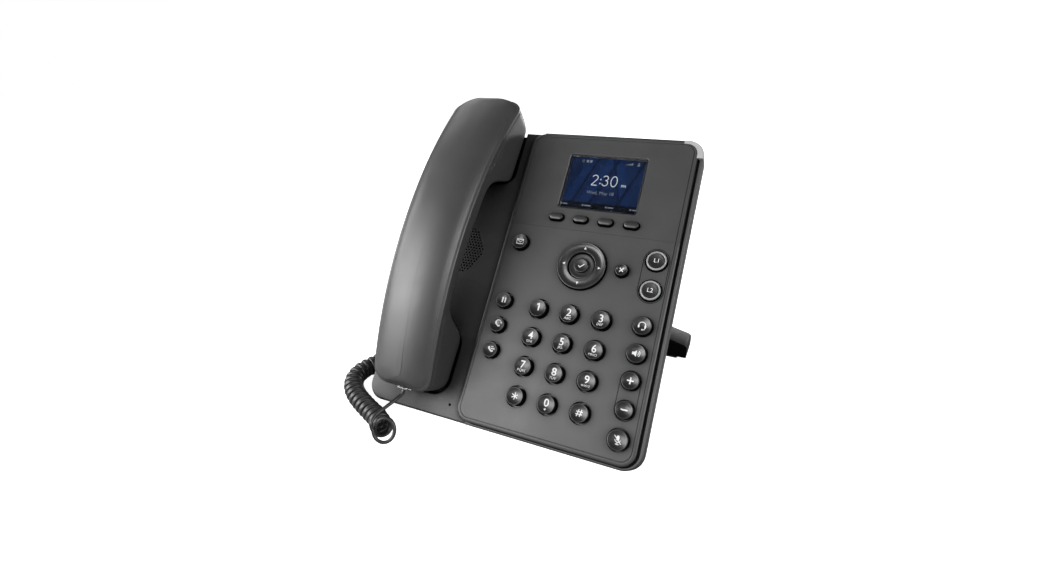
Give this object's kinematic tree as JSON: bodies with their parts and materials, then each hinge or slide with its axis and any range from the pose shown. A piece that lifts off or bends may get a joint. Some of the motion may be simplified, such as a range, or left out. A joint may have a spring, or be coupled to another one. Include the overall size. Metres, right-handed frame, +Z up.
{
  "type": "desk telephone",
  "caption": "Dark corded desk telephone: sloped case on a fold-out rear stand, colour screen, round sprung keys, navigation ring, cradled handset and coiled cord.",
  "frame": {"origin": "centre of the overall box at desk level, with the cord lying at its rest place", "axes": "+X to the user's right, +Y away from the user, +Z up; the face slopes 51.4 degrees from the desk about X"},
  "size_m": [0.2208, 0.2008, 0.1902],
  "materials": {
    "case_plastic": "fine matt texture",
    "faceplate_plastic": "satin",
    "handset_plastic": "satin",
    "key_plastic": "semi-gloss",
    "silicone": "matt",
    "lens": "clear gloss over a dark display",
    "module_frame": "satin",
    "circuit_board": "solder mask",
    "speaker_frame": "satin",
    "lamp_diffuser": "translucent",
    "jack_shield": "bright",
    "jack_black": "matt",
    "clear_plug": "clear",
    "foot_rubber": "matt",
    "screw_steel": "zinc plated",
    "cord_jacket": "semi-gloss"
  },
  "bodies": {
    "phone_body": {"top_housing": "case_plastic", "rear_housing": "case_plastic", "faceplate": "faceplate_plastic", "screen_lens": "lens", "lcd_module": "module_frame", "main_pcb": "circuit_board", "keypad_mat": "silicone", "loudspeaker": "speaker_frame", "message_lamp": "lamp_diffuser", "line1_light_ring": "lamp_diffuser", "line2_light_ring": "lamp_diffuser", "network_jacks": "jack_shield", "handset_jacks": "jack_black", "power_jack": "jack_black", "base_plug": "clear_plug", "front_foot_left": "foot_rubber", "front_foot_right": "foot_rubber", "case_screw_1": "screw_steel", "case_screw_2": "screw_steel", "case_screw_3": "screw_steel", "handset_cord": "cord_jacket"},
    "handset": {"handset_outer_shell": "handset_plastic", "handset_inner_shell": "case_plastic", "receiver_capsule": "speaker_frame", "microphone_capsule": "screw_steel", "handset_plug": "clear_plug"},
    "hookswitch": {"hookswitch_plunger": "case_plastic"},
    "stand": {"stand": "case_plastic", "stand_foot_pad": "foot_rubber"},
    "nav_pad": {"nav_dome_pad": "silicone"},
    "nav_ring": {"nav_ring": "key_plastic"},
    "key_1": {"key_1": "key_plastic"},
    "key_2": {"key_2": "key_plastic"},
    "key_3": {"key_3": "key_plastic"},
    "key_4": {"key_4": "key_plastic"},
    "key_5": {"key_5": "key_plastic"},
    "key_6": {"key_6": "key_plastic"},
    "key_7": {"key_7": "key_plastic"},
    "key_8": {"key_8": "key_plastic"},
    "key_9": {"key_9": "key_plastic"},
    "key_star": {"key_star": "key_plastic"},
    "key_0": {"key_0": "key_plastic"},
    "key_pound": {"key_pound": "key_plastic"},
    "line1_key": {"line1_key": "key_plastic"},
    "line2_key": {"line2_key": "key_plastic"},
    "headset_key": {"headset_key": "key_plastic"},
    "speaker_key": {"speaker_key": "key_plastic"},
    "volume_up_key": {"volume_up_key": "key_plastic"},
    "volume_down_key": {"volume_down_key": "key_plastic"},
    "mute_key": {"mute_key": "key_plastic"},
    "hold_key": {"hold_key": "key_plastic"},
    "redial_key": {"redial_key": "key_plastic"},
    "transfer_key": {"transfer_key": "key_plastic"},
    "message_key": {"message_key": "key_plastic"},
    "cancel_key": {"cancel_key": "key_plastic"},
    "ok_key": {"ok_key": "key_plastic"},
    "softkey_1": {"softkey_1": "key_plastic"},
    "softkey_2": {"softkey_2": "key_plastic"},
    "softkey_3": {"softkey_3": "key_plastic"},
    "softkey_4": {"softkey_4": "key_plastic"}
  },
  "joints": [
    {"name": "handset_lift", "type": "slide", "parent": "phone_body", "child": "handset", "axis": [0, -0.7815, 0.6239], "range_m": [0, 0.09], "deforming": ["handset_cord"]},
    {"name": "foot_stand_fold", "type": "hinge", "parent": "phone_body", "child": "stand", "pos_m": [0.01835, 0.04062, 0.09866], "axis": [-1, 0, 0], "range_deg": [0, 50]},
    {"name": "hookswitch_travel", "type": "slide", "parent": "phone_body", "child": "hookswitch", "axis": [0, -0.7815, 0.6239], "range_m": [0, 0.0036]},
    {"name": "nav_tilt_ud", "type": "hinge", "parent": "phone_body", "child": "nav_pad", "pos_m": [0.0511, -0.0042, 0.09541], "axis": [1, 0, 0], "range_deg": [-3, 3], "stiffness_Nm_per_rad": 0.002},
    {"name": "nav_tilt_lr", "type": "hinge", "parent": "nav_pad", "child": "nav_ring", "pos_m": [0.0511, -0.0042, 0.09541], "axis": [0, 0.6239, 0.7815], "range_deg": [-3, 3], "stiffness_Nm_per_rad": 0.002},
    {"name": "press_key_1", "type": "slide", "parent": "phone_body", "child": "key_1", "axis": [0, 0.7815, -0.6239], "range_m": [0, 0.0008], "stiffness_N_per_m": 20},
    {"name": "press_key_2", "type": "slide", "parent": "phone_body", "child": "key_2", "axis": [0, 0.7815, -0.6239], "range_m": [0, 0.0008], "stiffness_N_per_m": 20},
    {"name": "press_key_3", "type": "slide", "parent": "phone_body", "child": "key_3", "axis": [0, 0.7815, -0.6239], "range_m": [0, 0.0008], "stiffness_N_per_m": 20},
    {"name": "press_key_4", "type": "slide", "parent": "phone_body", "child": "key_4", "axis": [0, 0.7815, -0.6239], "range_m": [0, 0.0008], "stiffness_N_per_m": 20},
    {"name": "press_key_5", "type": "slide", "parent": "phone_body", "child": "key_5", "axis": [0, 0.7815, -0.6239], "range_m": [0, 0.0008], "stiffness_N_per_m": 20},
    {"name": "press_key_6", "type": "slide", "parent": "phone_body", "child": "key_6", "axis": [0, 0.7815, -0.6239], "range_m": [0, 0.0008], "stiffness_N_per_m": 20},
    {"name": "press_key_7", "type": "slide", "parent": "phone_body", "child": "key_7", "axis": [0, 0.7815, -0.6239], "range_m": [0, 0.0008], "stiffness_N_per_m": 20},
    {"name": "press_key_8", "type": "slide", "parent": "phone_body", "child": "key_8", "axis": [0, 0.7815, -0.6239], "range_m": [0, 0.0008], "stiffness_N_per_m": 20},
    {"name": "press_key_9", "type": "slide", "parent": "phone_body", "child": "key_9", "axis": [0, 0.7815, -0.6239], "range_m": [0, 0.0008], "stiffness_N_per_m": 20},
    {"name": "press_key_star", "type": "slide", "parent": "phone_body", "child": "key_star", "axis": [0, 0.7815, -0.6239], "range_m": [0, 0.0008], "stiffness_N_per_m": 20},
    {"name": "press_key_0", "type": "slide", "parent": "phone_body", "child": "key_0", "axis": [0, 0.7815, -0.6239], "range_m": [0, 0.0008], "stiffness_N_per_m": 20},
    {"name": "press_key_pound", "type": "slide", "parent": "phone_body", "child": "key_pound", "axis": [0, 0.7815, -0.6239], "range_m": [0, 0.0008], "stiffness_N_per_m": 20},
    {"name": "press_line1_key", "type": "slide", "parent": "phone_body", "child": "line1_key", "axis": [0, 0.7815, -0.6239], "range_m": [0, 0.0008], "stiffness_N_per_m": 20},
    {"name": "press_line2_key", "type": "slide", "parent": "phone_body", "child": "line2_key", "axis": [0, 0.7815, -0.6239], "range_m": [0, 0.0008], "stiffness_N_per_m": 20},
    {"name": "press_headset_key", "type": "slide", "parent": "phone_body", "child": "headset_key", "axis": [0, 0.7815, -0.6239], "range_m": [0, 0.0008], "stiffness_N_per_m": 20},
    {"name": "press_speaker_key", "type": "slide", "parent": "phone_body", "child": "speaker_key", "axis": [0, 0.7815, -0.6239], "range_m": [0, 0.0008], "stiffness_N_per_m": 20},
    {"name": "press_volume_up_key", "type": "slide", "parent": "phone_body", "child": "volume_up_key", "axis": [0, 0.7815, -0.6239], "range_m": [0, 0.0008], "stiffness_N_per_m": 20},
    {"name": "press_volume_down_key", "type": "slide", "parent": "phone_body", "child": "volume_down_key", "axis": [0, 0.7815, -0.6239], "range_m": [0, 0.0008], "stiffness_N_per_m": 20},
    {"name": "press_mute_key", "type": "slide", "parent": "phone_body", "child": "mute_key", "axis": [0, 0.7815, -0.6239], "range_m": [0, 0.0008], "stiffness_N_per_m": 20},
    {"name": "press_hold_key", "type": "slide", "parent": "phone_body", "child": "hold_key", "axis": [0, 0.7815, -0.6239], "range_m": [0, 0.0008], "stiffness_N_per_m": 20},
    {"name": "press_redial_key", "type": "slide", "parent": "phone_body", "child": "redial_key", "axis": [0, 0.7815, -0.6239], "range_m": [0, 0.0008], "stiffness_N_per_m": 20},
    {"name": "press_transfer_key", "type": "slide", "parent": "phone_body", "child": "transfer_key", "axis": [0, 0.7815, -0.6239], "range_m": [0, 0.0008], "stiffness_N_per_m": 20},
    {"name": "press_message_key", "type": "slide", "parent": "phone_body", "child": "message_key", "axis": [0, 0.7815, -0.6239], "range_m": [0, 0.0008], "stiffness_N_per_m": 20},
    {"name": "press_cancel_key", "type": "slide", "parent": "phone_body", "child": "cancel_key", "axis": [0, 0.7815, -0.6239], "range_m": [0, 0.0008], "stiffness_N_per_m": 20},
    {"name": "press_ok_key", "type": "slide", "parent": "phone_body", "child": "ok_key", "axis": [0, 0.7815, -0.6239], "range_m": [0, 0.0008], "stiffness_N_per_m": 20},
    {"name": "press_softkey_1", "type": "slide", "parent": "phone_body", "child": "softkey_1", "axis": [0, 0.7815, -0.6239], "range_m": [0, 0.0008], "stiffness_N_per_m": 20},
    {"name": "press_softkey_2", "type": "slide", "parent": "phone_body", "child": "softkey_2", "axis": [0, 0.7815, -0.6239], "range_m": [0, 0.0008], "stiffness_N_per_m": 20},
    {"name": "press_softkey_3", "type": "slide", "parent": "phone_body", "child": "softkey_3", "axis": [0, 0.7815, -0.6239], "range_m": [0, 0.0008], "stiffness_N_per_m": 20},
    {"name": "press_softkey_4", "type": "slide", "parent": "phone_body", "child": "softkey_4", "axis": [0, 0.7815, -0.6239], "range_m": [0, 0.0008], "stiffness_N_per_m": 20}
  ],
  "couplings": [
    {"joint": "hookswitch_travel", "follows": "handset_lift", "ratio": 0.04}
  ]
}
